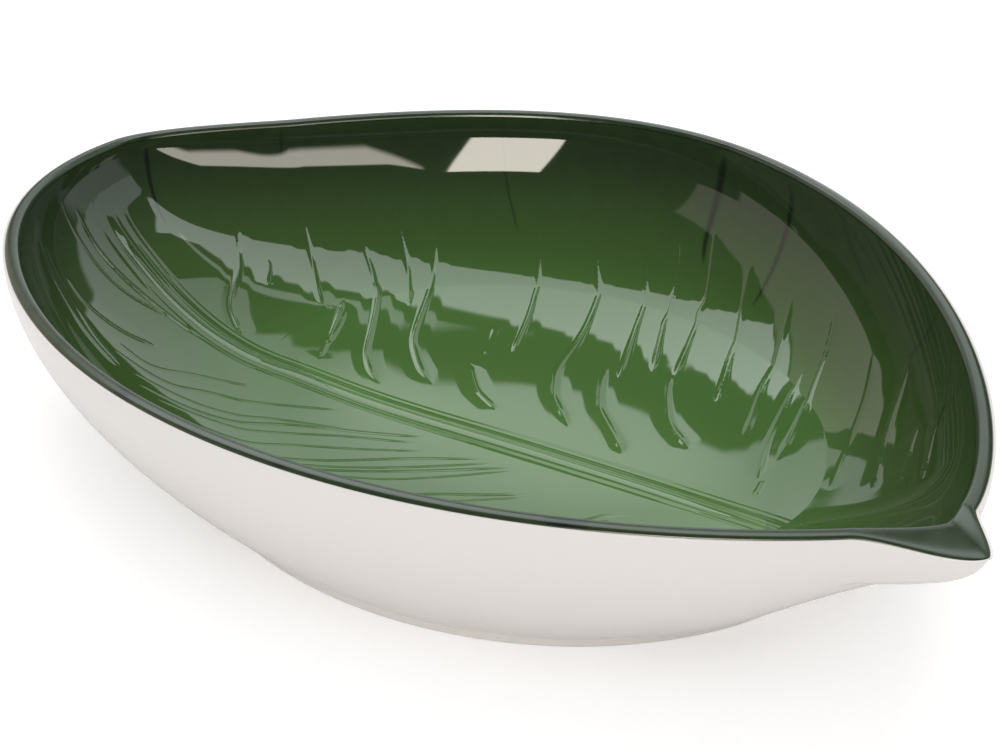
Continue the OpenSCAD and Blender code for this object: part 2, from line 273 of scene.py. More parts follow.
# Raised lines of the leaf. Each starts with its height and its half width at its two ends, as
# shares of the sizes in the panel. Then come the places that it runs through: how far down the
# face, 0 at the rim, 1 at the heel and 2 at the midrib, and how far round it, 0 at the stalk, 1
# at the blunt end and 2 at the stalk again.
MAIN_VEINS = (
    (0.8, 0.7, 0.9, (0.41, 0.918), (0.53, 0.94), (0.63, 0.965), (0.74, 1.02), (0.88, 1.06)),
    (0.8, 0.5, 0.8, (0.6, 0.92), (0.65, 0.93), (0.72, 0.95)),
    (0.9, 0.7, 1.0, (0.43, 0.854), (0.66, 0.88), (0.93, 0.919)),
    (0.7, 0.8, 1.1, (0.93, 0.886), (1.05, 0.908), (1.36, 0.945), (1.63, 0.97)),
    (1.0, 0.7, 1.6, (0.57, 0.803), (0.87, 0.82), (1.04, 0.846), (1.37, 0.882), (1.56, 0.895),
     (1.74, 0.897), (1.84, 0.888)),
    (0.9, 0.7, 1.0, (0.4, 0.768), (0.75, 0.783), (0.97, 0.797), (1.1, 0.803)),
    (1.0, 0.7, 1.6, (0.53, 0.749), (0.7, 0.758), (1.07, 0.786), (1.33, 0.809), (1.48, 0.815),
     (1.62, 0.816), (1.72, 0.809)),
    (0.4, 1.0, 1.3, (1.24, 0.729), (1.34, 0.735), (1.46, 0.743)),
    (0.9, 1.0, 1.2, (1.52, 0.76), (1.7, 0.758), (1.77, 0.751), (1.84, 0.737)),
    (1.0, 0.8, 1.0, (0.5, 0.669), (0.95, 0.692), (1.2, 0.702), (1.45, 0.717)),
    (1.1, 0.9, 1.9, (0.45, 0.625), (0.71, 0.634), (1.19, 0.648), (1.45, 0.666), (1.57, 0.669),
     (1.7, 0.664), (1.86, 0.635)),
    (1.1, 0.9, 1.6, (0.43, 0.584), (0.6, 0.586), (1.04, 0.599), (1.49, 0.6)),
    (1.1, 1.2, 2.4, (1.39, 0.615), (1.5, 0.617), (1.61, 0.613), (1.71, 0.601), (1.91, 0.548)),
    (1.0, 0.9, 1.3, (0.41, 0.557), (0.6, 0.557), (1.01, 0.573), (1.12, 0.573), (1.37, 0.565)),
    (1.0, 1.1, 1.9, (1.32, 0.542), (1.42, 0.539), (1.52, 0.528), (1.62, 0.51), (1.72, 0.47)),
    (1.0, 0.9, 1.3, (0.35, 0.525), (0.74, 0.531), (0.95, 0.541), (1.36, 0.539)),
    (1.0, 0.9, 1.5, (0.4, 0.495), (0.84, 0.496), (1.08, 0.495), (1.4, 0.482)),
    (1.0, 0.9, 1.5, (0.42, 0.468), (0.84, 0.465), (1.07, 0.462), (1.24, 0.453), (1.51, 0.428)),
    (1.0, 0.9, 1.5, (0.38, 0.441), (0.52, 0.434), (0.91, 0.425), (1.1, 0.413), (1.39, 0.376)),
    (0.9, 0.8, 1.3, (0.79, 0.442), (1.06, 0.437), (1.37, 0.408), (1.6, 0.352)),
    (0.9, 0.8, 1.2, (0.43, 0.397), (0.69, 0.371), (0.8, 0.353), (0.88, 0.328), (0.91, 0.29)),
    (0.9, 0.8, 1.2, (0.24, 0.37), (0.45, 0.352), (0.55, 0.336), (0.61, 0.314), (0.65, 0.268)),
    (0.8, 0.7, 1.0, (0.37, 0.32), (0.45, 0.301), (0.52, 0.258)),
    (0.9, 0.7, 1.2, (0.02, 0.327), (0.26, 0.305), (0.34, 0.288), (0.41, 0.251)),
    (1.0, 0.8, 1.2, (0.1, 1.157), (0.28, 1.191), (0.41, 1.227), (0.52, 1.255)),
    (1.0, 0.8, 1.2, (0.11, 1.075), (0.31, 1.087), (0.53, 1.095), (0.78, 1.105)),
    (1.0, 0.8, 1.2, (0.26, 1.157), (0.39, 1.175), (0.53, 1.177), (0.65, 1.166)),
)
FINE_VEINS = (
    (0.8, 0.6, 1.0, (1.04, 0.896), (1.17, 0.914), (1.37, 0.945)),
    (0.9, 1.0, 1.2, (1.54, 0.349), (1.66, 0.316)),
    (0.6, 0.6, 0.8, (0.06, 1.09), (0.25, 1.1), (0.45, 1.11), (0.65, 1.1)),
    (0.6, 0.6, 0.8, (0.12, 1.15), (0.34, 1.19), (0.45, 1.225), (0.54, 1.25)),
    (0.5, 0.5, 0.6, (0.5, 1.2), (0.64, 1.21), (0.81, 1.18), (1.07, 1.145)),
    (0.6, 0.6, 0.6, (0.5, 1.22), (0.7, 1.23), (0.94, 1.2), (1.59, 1.16)),
    (0.5, 0.5, 0.6, (0.55, 1.245), (0.81, 1.248), (1.17, 1.225), (1.5, 1.228)),
    (0.7, 0.6, 0.7, (0.55, 1.265), (0.84, 1.265), (1.27, 1.233), (1.82, 1.238)),
    (0.5, 0.5, 0.6, (0.6, 1.28), (0.93, 1.273), (1.39, 1.252), (1.73, 1.262)),
    (0.5, 0.5, 0.6, (0.2, 1.29), (0.88, 1.304), (1.24, 1.29), (1.73, 1.292)),
    (0.7, 0.6, 0.7, (0.15, 1.3), (0.6, 1.322), (1.09, 1.332), (1.56, 1.318), (1.86, 1.329)),
    (0.5, 0.5, 0.6, (0.2, 1.325), (0.65, 1.338), (1.14, 1.345), (1.87, 1.345)),
    (0.7, 0.6, 0.7, (0.15, 1.345), (0.65, 1.352), (1.5, 1.358), (1.89, 1.368)),
    (0.5, 0.5, 0.6, (0.2, 1.365), (0.7, 1.368), (1.2, 1.372), (1.44, 1.382), (1.89, 1.378)),
    (0.7, 0.6, 0.8, (0.15, 1.395), (0.8, 1.415), (1.39, 1.43), (1.59, 1.45), (1.76, 1.477)),
    (0.5, 0.5, 0.6, (0.3, 1.425), (1.0, 1.44), (1.44, 1.459), (1.76, 1.482)),
    (0.7, 0.6, 0.8, (0.15, 1.5), (0.9, 1.53), (1.64, 1.555), (1.77, 1.568), (1.85, 1.609)),
    (0.5, 0.5, 0.6, (0.3, 1.53), (1.0, 1.545), (1.64, 1.566), (1.73, 1.591), (1.83, 1.614)),
    (0.5, 0.6, 0.6, (0.1, 1.62), (0.8, 1.64), (1.45, 1.67)),
    (0.5, 0.6, 0.6, (0.15, 1.7), (0.8, 1.72), (1.4, 1.75)),
    (0.5, 0.6, 0.6, (0.2, 1.78), (0.8, 1.8), (1.3, 1.83)),
    (0.5, 0.6, 0.6, (0.1, 1.87), (0.6, 1.89), (1.1, 1.91)),
)
# Course of the raised midrib, from the stalk over the floor and up to the blunt rim, as shares of
# half the length and half the width
RIDGE = (
    (0.860, -0.045), (0.700, 0.035), (0.520, 0.085), (0.390, 0.093), (0.197, 0.061), (-0.072, -0.031),
    (-0.332, -0.145), (-0.441, -0.197), (-0.521, -0.248), (-0.589, -0.270), (-0.652, -0.279),
    (-0.727, -0.280), (-0.811, -0.274), (-0.902, -0.269), (-0.961, -0.252),
)
# The ridge and the fine lines along it: height, as a share of the midrib's, then the place across
# it at the stalk and at the blunt end and the half width, as shares of its width. The near side
# counts as positive.
RIDGE_LINES = (
    (0.85, 0.00, 0.00, 0.58), (-0.16, 0.02, 0.02, 0.10), (-0.14, 0.30, 0.46, 0.09),
    (0.18, 0.58, 0.86, 0.15), (0.20, -0.60, -0.52, 0.15), (-0.10, -0.24, -0.24, 0.07),
)
# Dark folds of the printed foil, each with its strength, its half width at its two ends as shares
# of the size in the panel, and its places
FOLDS = (
    (0.9, 0.9, 0.3, (0.01, 0.966), (0.15, 0.975), (0.36, 0.994)),
    (0.6, 0.5, 0.3, (0.01, 0.842), (0.13, 0.848)),
    (0.6, 0.4, 0.3, (0.01, 0.682), (0.25, 0.686), (0.58, 0.689)),
    (0.9, 1.6, 0.5, (0.01, 0.520), (0.21, 0.525), (0.44, 0.534), (0.58, 0.536)),
    (0.9, 1.2, 0.4, (0.01, 0.479), (0.15, 0.477), (0.42, 0.482), (0.71, 0.491)),
    (0.6, 0.5, 0.3, (0.01, 0.448), (0.12, 0.438), (0.22, 0.420)),
    (0.7, 0.8, 0.4, (0.01, 0.355), (0.30, 0.368)),
    (0.6, 0.5, 0.4, (0.01, 0.298), (0.31, 0.311)),
    (0.6, 0.6, 0.4, (0.01, 1.339), (0.20, 1.320)),
    (0.6, 0.6, 0.4, (0.01, 1.482), (0.30, 1.450)),
    (0.6, 0.6, 0.4, (0.01, 1.652), (0.30, 1.630)),
)
# Where folds reach the edge of the rim: place round it, half width and strength
RIM_MARKS = ((1.339, 0.006, 0.4), (1.397, 0.004, 0.4), (1.489, 0.014, 0.9), (1.555, 0.004, 0.5),
             (1.654, 0.010, 1.0), (0.966, 0.006, 0.7), (0.52, 0.008, 0.6), (0.479, 0.007, 0.6))


def bend(points, t):
    """Points of a curve with four control points"""
    points = [np.asarray(p, float) for p in points]
    t = np.asarray(t, float)[..., None]
    s = 1 - t
    return (s ** 3 * points[0] + 3 * s * s * t * points[1]
            + 3 * s * t * t * points[2] + t ** 3 * points[3])


def corner(start, end, shares, sideways_first):
    """Control points of a stretch that leaves one way and arrives the other way"""
    span = end - start
    first = np.array([0, span[1]]) if sideways_first else np.array([span[0], 0])
    return [start, start + shares[0] * first, end - shares[1] * (span - first), end]


def unit(vectors):
    """Vectors of length 1"""
    return vectors / np.linalg.norm(vectors, axis=-1, keepdims=True)


def smooth(low, high, x):
    """Smooth step from 0 to 1"""
    t = np.clip((x - low) / (high - low), 0, 1)
    return t * t * (3 - 2 * t)


class DishForm:
    """The dish's outlines and surfaces, each a closed run of points counter-clockwise
    from the stalk: the far side first, then the near side back."""

    def __init__(self, form, columns):
        self.form = form
        self.columns = columns
        self.half = columns // 2
        steps = np.arange(columns)
        self.far = steps <= self.half
        # Share of a side, 0 at the stalk and 1 at the blunt end
        self.share = np.where(self.far, steps, columns - steps) / self.half
        # The same all the way round: 0 to 1 on the far side, 1 to 2 on the near side
        self.place = 2 * steps / columns
        self.hl, self.hw = form.length / 2, form.width / 2
        self.leaf = self.outline()
        gap = np.linalg.norm(np.roll(self.leaf, -1, 0) - self.leaf, axis=1)
        run = np.concatenate([[0], np.cumsum(gap)])
        self.run = np.where(self.far, run[:-1], run[-1] - run[:-1])
        reach = np.where(self.far, form.stalk_far_run, form.stalk_near_run)
        self.stub = self.hump(reach) ** STUB_BLUNTNESS
        self.tuck = TUCK * self.hump(np.full(columns, TUCK_REACH * form.length))
        self.foot_centre = np.array([-form.stalk_length / 2, form.foot_side])

    def hump(self, reach):
        """Smooth hump, 1 at the stalk and 0 at a reach along the rim"""
        return (1 + np.cos(np.pi * np.minimum(self.run / reach, 1))) / 2

    def outline(self):
        """The leaf without its stalk"""
        hl, hw = self.hl, self.hw
        blunt = np.array([-hl, BLUNT_SIDE * hw])
        far = np.array([FAR_BULGE * hl, hw])
        stalk = np.array([hl - self.form.stalk_length, STALK_SIDE * hw])
        near = np.array([NEAR_BULGE * hl, -hw])
        shoulder = np.array([SHOULDER[0] * hl, SHOULDER[1] * hw])
        way = np.array([math.cos(SHOULDER_TURN), math.sin(SHOULDER_TURN)])
        back = np.array([shoulder[0] - far[0], 0])
        down = np.array([0, shoulder[1] - blunt[1]])
        far_course = [
            corner(stalk, far, FAR_STALK, True),
            [far, far + FAR_BACK[0] * back,
             shoulder + FAR_BACK[1] * np.linalg.norm(far - shoulder) * way, shoulder],
            [shoulder, shoulder - FAR_BLUNT[0] * np.linalg.norm(shoulder - blunt) * way,
             blunt + FAR_BLUNT[1] * down, blunt]]
        near_course = [corner(stalk, near, NEAR_STALK, True), corner(near, blunt, NEAR_BLUNT, False)]
        points = np.zeros((self.columns, 2))
        sides = (self.far, far_course, FAR_STOPS), (~self.far, near_course, NEAR_STOPS)
        for side, course, stops in sides:
            for k, stretch in enumerate(course):
                here = side & (self.share >= stops[k]) & (self.share <= stops[k + 1])
                t = (self.share[here] - stops[k]) / (stops[k + 1] - stops[k])
                points[here] = bend(stretch, t ** CROWD if k == 0 else t)
        return points

    def stalked(self, share):
        """The outline with the stalk, full or drawn in by a share"""
        return self.leaf + np.outer(share * self.form.stalk_length * self.stub, [1, 0])

    def oval(self, shrink, sweep):
        """Oval about the foot's centre, each point opposite its point of the outline"""
        rx, ry = self.form.foot_length / 2 - shrink, self.form.foot_width / 2 - shrink
        off = self.leaf - self.foot_centre
        seen = np.arctan2(off[:, 1] / ry, off[:, 0] / rx)
        a = seen - sweep * np.sin(seen)
        return self.foot_centre + np.stack([rx * np.cos(a), ry * np.sin(a)], 1)

    def floor_z(self, points):
        """Height of the glazed floor, a shallow bowl about the foot's centre"""
        form = self.form
        reach = np.array([form.foot_length / 2, form.foot_width / 2]) - form.heel_inset
        out = np.linalg.norm((points - self.foot_centre) / reach, axis=1)
        return form.floor + form.dishing * out ** DISH_POWER

    def on_floor(self, points, rise):
        """Flat points laid on the floor, or a rise above it"""
        return np.column_stack([points, self.floor_z(points) + rise])

    def between(self, lower, upper, share):
        """Ring at a share of the overhang, hollowed under the stalk"""
        s = (share - self.tuck * 4 * share * (1 - share))[:, None]
        return lower * (1 - s) + upper * s

    def sagging(self, ring, z, share):
        """A ring at a height, dipped at the stalk"""
        return np.column_stack([ring, z - share * self.form.stalk_dip * self.stub])

    def outer_wall(self, steps):
        """Rings from the foot up to the parting line"""
        form = self.form
        foot = self.oval(0, 0)
        top = form.height - form.parting
        rings = []
        for t in steps:
            p = bend(OUTER_WALL, t)
            z = form.foot_height + p[1] * (top - form.foot_height)
            depth = (form.height - z) / form.stalk_depth
            left = (1 - depth ** STUB_POWER) ** (1 / STUB_POWER) if depth < 1 else 0
            ring = self.between(foot, self.leaf, p[0])
            ring[:, 0] += left * form.stalk_length * self.stub
            rings.append(np.column_stack([ring, np.minimum(z, top - form.stalk_dip * self.stub)]))
        return rings

    def midrib(self, half):
        """Course of the midrib as a band of a given half width"""
        course = [np.array([a * self.hl, b * self.hw]) for a, b in MIDRIB]
        t = self.share ** ROOT_POWER
        step = 1 / self.half
        along = bend(course, np.minimum(t + step, 1)) - bend(course, np.maximum(t - step, 0))
        across = unit(np.stack([along[:, 1], -along[:, 0]], 1))
        taper = np.sqrt(np.clip(1 - (2 * self.share - 1) ** MIDRIB_POWER, 0, 1))
        way = np.where(self.far, 1, -1)
        return bend(course, t) + (way * half * taper)[:, None] * across

    def inner_face(self, depth, top, walls, floors, half):
        """Rings of an inner face, from the rim down the wall and over the floor to the midrib"""
        form = self.form
        edge = inset(self.leaf, form.rim_width - depth)
        heel = self.oval(form.heel_inset - depth, SWEEP)
        heel_z = self.floor_z(heel) - depth
        rings = []
        for t in walls:
            p = bend(INNER_WALL, t)
            rings.append(self.sagging(
                self.between(heel, edge, p[0]), heel_z + p[1] * (top - heel_z),
                p[1] ** SAG_POWER * RIM_SAG))
        band = self.midrib(half)
        return rings + [self.on_floor(heel * (1 - s) + band * s, -depth) for s in floors]


def inset(points, distance):
    """A closed outline moved inward"""
    along = unit(np.roll(points, -1, 0) - np.roll(points, 1, 0))
    return points - distance * np.stack([along[:, 1], -along[:, 0]], 1)


def level(points, z):
    """A flat outline at a height"""
    return np.column_stack([points, np.full(len(points), z)])


# Faces that meet at more than this keep a sharp edge
SHARP_ANGLE = math.radians(42)


def lofted(name, rings, attributes=()):
    """Closed solid through a run of rings, from its underside up, as a smooth mesh. An attribute is
    a label with the values of each ring."""
    n, count = len(rings[0]), len(rings)
    i = np.arange(n)
    j = (i + 1) % n
    strips = [np.stack([k * n + i, k * n + j, k * n + n + j, k * n + n + i], 1)
              for k in range(count - 1)]
    a = np.arange(n // 2)
    zipped = np.stack([a, a + 1, n - a - 1, (n - a) % n], 1)
    quads = np.concatenate([zipped[:, ::-1]] + strips + [zipped + (count - 1) * n])
    faces = [list(dict.fromkeys(q)) for q in quads.tolist()]
    mesh = bpy.data.meshes.new(name)
    mesh.from_pydata(np.concatenate(rings).tolist(), [], [f for f in faces if len(f) > 2])
    for label, values in attributes:
        layer = mesh.attributes.new(label, "FLOAT", "POINT")
        layer.data.foreach_set("value", np.concatenate(values).astype(np.float32))
    mesh.validate()
    mesh.shade_smooth()
    mesh.set_sharp_from_angle(angle=SHARP_ANGLE)
    piece = bpy.data.objects.new(name, mesh)
    bpy.context.scene.collection.objects.link(piece)
    return piece


# Materials

class Value:
    """A socket that takes part in Python expressions, each of which adds a Math node"""

    def __init__(self, nodes, socket):
        self.nodes, self.socket = nodes, socket

    def _math(self, operation, *values):
        """A Math node with this operation"""
        return self.nodes.add("ShaderNodeMath", {"operation": operation}, dict(enumerate(values)))

    def __add__(self, other): return self._math("ADD", self, other)
    def __sub__(self, other): return self._math("SUBTRACT", self, other)
    def __rsub__(self, other): return self._math("SUBTRACT", other, self)
    def __mul__(self, other): return self._math("MULTIPLY", self, other)
    def __truediv__(self, other): return self._math("DIVIDE", self, other)
    def __gt__(self, other): return self._math("GREATER_THAN", self, other)
    def __lt__(self, other): return self._math("LESS_THAN", self, other)
    def arctan2(self, other): return self._math("ARCTAN2", self, other)
    def arcsin(self): return self._math("ARCSINE", self)
    def maximum(self, other): return self._math("MAXIMUM", self, other)
    def minimum(self, other): return self._math("MINIMUM", self, other)
    def clamp(self): return self.maximum(0.0).minimum(1.0)

    def past(self, start):
        """How far past a start, and 0 before it"""
        return (self - start).maximum(0.0)

    def edge(self, soft):
        """0 below 0 and 1 above a softness"""
        return self.ramp(0.0, soft)

    def ramp(self, low, high):
        """0 below low, 1 above high, smooth between"""
        return self.nodes.add(
            "ShaderNodeMapRange", {"interpolation_type": "SMOOTHSTEP"},
            {"Value": self, "From Min": low, "From Max": high})


class Nodes:
    """The node tree of one material or world"""

    def __init__(self, owner):
        owner.use_nodes = True
        self.tree = owner.node_tree
        self.tree.nodes.clear()

    def add(self, kind, settings=None, sockets=None, output=0):
        """A node of a type, with its settings made first and then its sockets"""
        node = self.tree.nodes.new(kind)
        for key, value in (settings or {}).items():
            setattr(node, key, value)
        for key, value in (sockets or {}).items():
            target = node.inputs[key]
            if isinstance(value, Value):
                self.tree.links.new(value.socket, target)
            else:
                target.default_value = value
        return Value(self, node.outputs[output]) if len(node.outputs) else node

    def mix(self, share, first, second):
        """A colour between two colours"""
        return self.add(
            "ShaderNodeMix", {"data_type": "RGBA"},
            {"Factor": share, 6: colour(first), 7: colour(second)}, output=2)


def colour(value):
    """A colour with its alpha, or a socket as it is"""
    return value if isinstance(value, Value) else (*value[:3], 1.0)


def noise(nodes, where, scale, detail):
    """Noise from 0 to 1, about 0.5, at places of the object"""
    return nodes.add("ShaderNodeTexNoise", {}, {"Vector": where, "Scale": scale, "Detail": detail})


# Colours of the grain, the folds and the clouds
GRAIN_GREEN = (0.1, 0.2, 0.06)
FOLD_GREEN = (0.006, 0.010, 0.006)
CLOUD_WHITE = (0.86, 0.82, 0.79)
# Shares in the green: the grain's own and how much it varies, and a fold's. How much the
# roughness varies, and how far the greens drift.
GRAIN_SHARE, GRAIN_SPREAD, FOLD_SHARE, ROUGH_SPREAD, DRIFT = 0.02, 0.10, 0.95, 0.4, 0.10
# The clouds' share in the white and how much it varies, and how much the roughness varies
CLOUD_SHARE, CLOUD_SPREAD, SPECK_SPREAD = 0.1, 0.25, 0.08
# Depths down the face, 0 at the rim, 1 at the heel and 2 at the midrib, between which its greens
# change: edge to wall, wall to heart and heart to middle
EDGE_TO_WALL, WALL_TO_HEART, HEART_TO_MIDDLE = (0.05, 0.55), (0.45, 1.15), (1.4, 2.05)


def glazed_green(name, finish, gloss):
    """Glossy green plastic that darkens towards the rim, with the printed foil's folds"""
    material = bpy.data.materials.new(name)
    nodes = Nodes(material)
    where = nodes.add("ShaderNodeTexCoord", output=3)
    depth = nodes.add("ShaderNodeAttribute", {"attribute_name": "depth"}, output=2)
    fold = nodes.add("ShaderNodeAttribute", {"attribute_name": "fold"}, output=2)
    drift = noise(nodes, where, scale=22.0, detail=2.0) - 0.5
    grain = noise(nodes, where, scale=260.0, detail=3.0) - 0.5
    wave = noise(nodes, where, scale=55.0, detail=1.0)
    place = depth + drift * DRIFT
    green = nodes.mix(place.ramp(*EDGE_TO_WALL), finish.leaf_edge, finish.leaf_wall)
    green = nodes.mix(place.ramp(*WALL_TO_HEART), green, finish.leaf_heart)
    green = nodes.mix(place.ramp(*HEART_TO_MIDDLE), green, finish.leaf_middle)
    green = nodes.mix(grain * GRAIN_SPREAD + GRAIN_SHARE, green, GRAIN_GREEN)
    green = nodes.mix(fold * FOLD_SHARE, green, FOLD_GREEN)
    rough = grain * (ROUGH_SPREAD * gloss) + gloss
    bump = nodes.add("ShaderNodeBump", {}, {"Strength": 0.03, "Distance": 0.001, "Height": wave})
    shader = nodes.add("ShaderNodeBsdfPrincipled", {}, {
        "Base Color": green, "Roughness": rough, "IOR": 1.55, "Normal": bump})
    nodes.add("ShaderNodeOutputMaterial", {}, {"Surface": shader})
    return material


def shell_white(finish):
    """Warm white moulded plastic with a soft gloss"""
    material = bpy.data.materials.new("moulded_white")
    nodes = Nodes(material)
    where = nodes.add("ShaderNodeTexCoord", output=3)
    cloud = noise(nodes, where, scale=14.0, detail=2.0) - 0.5
    speck = noise(nodes, where, scale=420.0, detail=2.0)
    pale = nodes.mix(cloud * CLOUD_SPREAD + CLOUD_SHARE, finish.shell, CLOUD_WHITE)
    rough = (speck - 0.5) * SPECK_SPREAD + finish.shell_gloss
    bump = nodes.add("ShaderNodeBump", {}, {"Strength": 0.04, "Distance": 0.0005, "Height": speck})
    shader = nodes.add("ShaderNodeBsdfPrincipled", {}, {
        "Base Color": pale, "Roughness": rough, "IOR": 1.5, "Coat Weight": 0.15,
        "Coat Roughness": 0.06, "Normal": bump})
    nodes.add("ShaderNodeOutputMaterial", {}, {"Surface": shader})
    return material


# Pieces

# Points round a ring of the shell and liner, and round one of the face
SHELL_COLUMNS = 672
FACE_COLUMNS = 1536
# Places of the rings: down a hidden wall, over a hidden floor, over the underside, in the recess,
# round a quarter of an edge, up the outer wall, round the rim, and down, over and up on the face
HIDDEN_WALL, HIDDEN_FLOOR = np.linspace(0, 1, 9), (0.3, 0.65, 1)
UNDERSIDE = np.linspace(1, 0, 13)
RECESS = (0.75, 0.5, 0.25, 0)
EDGE_TURNS = np.linspace(0, math.pi / 2, 5)
WALL_STOPS = np.concatenate([np.linspace(0, 0.7, 22), np.linspace(0.72, 1, 22)])
RIM_TURNS = np.linspace(0, math.pi / 2, 14)
FACE_WALL = np.linspace(0, 1, 121)
FACE_FLOOR, FACE_RIB = np.linspace(0, 1, 91)[1:], np.linspace(0, 1, 14)[1:]
# Rows that the midrib's band takes up, and the least half width of its middle
RIB_ROWS, RIB_MIDDLE = 0.2, 0.0001


def finish_piece(piece, node, material):
    """Give a piece its finish, the body that it rides on and the CAD node that it replaces"""
    piece.data.materials.append(material)
    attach(piece, "root")
    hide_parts(node)


class LEAFDISH_OT_shell(Operator):
    """Build the pale outer shell with its foot"""

    bl_idname = "leafdish.shell"
    bl_label = "Outer Shell"

    def execute(self, context):
        settings = context.scene.leaf_dish
        form = settings.form
        dish = DishForm(form, SHELL_COLUMNS)
        top = form.height - form.parting
        half = settings.relief.midrib_width / 2
        heel, band = dish.oval(form.heel_inset, SWEEP), dish.midrib(half)
        rings = [dish.on_floor(heel * (1 - s) + band * s, -form.floor_thickness) for s in UNDERSIDE]
        r = form.edge_round
        inner = form.foot_ring + form.recess_draft
        edge = inner + r
        rise = dish.floor_z(heel).mean() - form.floor_thickness - form.recess
        for s in RECESS:
            ring = dish.oval(edge + (form.heel_inset - edge) * s, SWEEP * s)
            rings.append(level(ring, form.recess + rise * s))
        for a in EDGE_TURNS[1:]:
            ring = dish.oval(inner + r * (1 - math.sin(a)), 0)
            rings.append(level(ring, form.recess - r * (1 - math.cos(a))))
        for a in EDGE_TURNS:
            ring = dish.oval(form.foot_ring - r * (1 - math.cos(a)), 0)
            rings.append(level(ring, r * (1 - math.sin(a))))
        for a in EDGE_TURNS:
            rings.append(level(dish.oval(r * (1 - math.sin(a)), 0), r * (1 - math.cos(a))))
        rings += dish.outer_wall(WALL_STOPS)
        rings.append(dish.sagging(inset(dish.stalked(1), form.ledge), top, 1))
        rings += dish.inner_face(form.foil + form.liner, top, HIDDEN_WALL, HIDDEN_FLOOR, half)
        piece = lofted("shell_body", rings)
        finish_piece(piece, "outer_shell", shell_white(settings.finish))
        return {"FINISHED"}


class LEAFDISH_OT_liner(Operator):
    """Build the green liner with the rim and the stalk"""

    bl_idname = "leafdish.liner"
    bl_label = "Liner and Rim"

    def execute(self, context):
        settings = context.scene.leaf_dish
        form = settings.form
        dish = DishForm(form, SHELL_COLUMNS)
        top = form.height - form.parting
        edge_z = form.height - form.rim_round
        half = settings.relief.midrib_width / 2
        joint = dish.inner_face(form.foil + form.liner, top, HIDDEN_WALL, HIDDEN_FLOOR, half)
        bed = dish.inner_face(form.foil, edge_z - form.foil / 2, HIDDEN_WALL, HIDDEN_FLOOR, half)
        outer = dish.sagging(inset(dish.stalked(1), form.ledge), top, 1)
        crest = inset(dish.leaf, form.rim_width - form.rim_round)
        inner = dish.sagging(crest, form.height, RIM_SAG)
        rings = joint[::-1]
        for a in RIM_TURNS[:-1]:
            s = 1 - math.cos(a)
            rings.append(outer * (1 - s) + inner * s + [0, 0, form.parting * (math.sin(a) - s)])
        for a in RIM_TURNS[::2]:
            ring = inset(dish.leaf, form.rim_width - form.rim_round * (1 - math.sin(a)))
            rings.append(dish.sagging(ring, edge_z + form.rim_round * math.cos(a), RIM_SAG))
        rings += bed
        depth = [np.zeros(dish.columns)] * len(rings)
        marks = np.zeros(dish.columns)
        for place, reach, strength in RIM_MARKS:
            off = (dish.place - place) / reach
            marks = np.maximum(marks, strength * np.clip(1 - off ** 2, 0, 1))
        piece = lofted("liner_rim", rings, [("depth", depth), ("fold", [marks] * len(rings))])
        green = glazed_green("rim_green", settings.finish, settings.finish.rim_gloss)
        finish_piece(piece, "leaf_liner", green)
        return {"FINISHED"}


class LEAFDISH_OT_face(Operator):
    """Build the printed leaf face with its raised veins"""

    bl_idname = "leafdish.face"
    bl_label = "Leaf Face"

    def execute(self, context):
        settings = context.scene.leaf_dish
        form, relief = settings.form, settings.relief
        dish = DishForm(form, FACE_COLUMNS)
        edge_z = form.height - form.rim_round
        half = relief.midrib_width / 2
        top = dish.inner_face(0, edge_z, FACE_WALL, FACE_FLOOR, half)
        top += [dish.on_floor(dish.midrib(max(half * (1 - s), RIB_MIDDLE)), 0) for s in FACE_RIB]
        top, row = np.array(top), np.concatenate([FACE_WALL, 1 + FACE_FLOOR, 2 + RIB_ROWS * FACE_RIB])
        bed = dish.inner_face(form.foil, edge_z - form.foil / 2, HIDDEN_WALL, HIDDEN_FLOOR, half)
        fold = folded(top, row, relief)
        top = embossed(top, row, relief, (dish.hl, dish.hw))
        rings = bed[::-1] + list(top)
        depth = [np.full(dish.columns, r) for r in [1.0] * len(bed) + list(np.minimum(row, 2))]
        plain = np.zeros(dish.columns)
        fold = [plain] * len(bed) + list(fold)
        piece = lofted("leaf_face", rings, [("depth", depth), ("fold", fold)])
        green = glazed_green("glazed_green", settings.finish, settings.finish.gloss)
        finish_piece(piece, "decor_foil", green)
        return {"FINISHED"}


# Points of a smooth run from one given place to the next
RUN_POINTS = 10
# Rows and columns looked at beside a line, beyond its width, and the least gap of two columns
SPARE_ROWS, SPARE_COLUMNS, COLUMN_GAP = 0.15, 12, 0.00022
# Share of its width that a line has at its ends, and how far along its width and its height have
# grown in full and start to fade
END_WIDTH = 0.45
WIDTH_GROWN, WIDTH_FADES, HEIGHT_GROWN, HEIGHT_FADES = 0.2, 0.9, 0.16, 0.85
# How far along the midrib its height has grown in full, how far it starts to fade, and the row
# down the wall by which all relief has grown in full
RIDGE_GROWN, RIDGE_FADES, RELIEF_STARTS = 0.08, 0.92, 0.05


def through(places):
    """A smooth run of places through a few places"""
    p = np.asarray(places, float)
    p = np.vstack([2 * p[0] - p[1], p, 2 * p[-1] - p[-2]])
    t = np.linspace(0, 1, RUN_POINTS, endpoint=False)[:, None]
    spans = [(2 * b + (c - a) * t + (2 * a - 5 * b + 4 * c - d) * t ** 2
              + (3 * b - a - 3 * c + d) * t ** 3) / 2
             for a, b, c, d in zip(p, p[1:], p[2:], p[3:])]
    return np.vstack(spans + [p[-2:-1]])


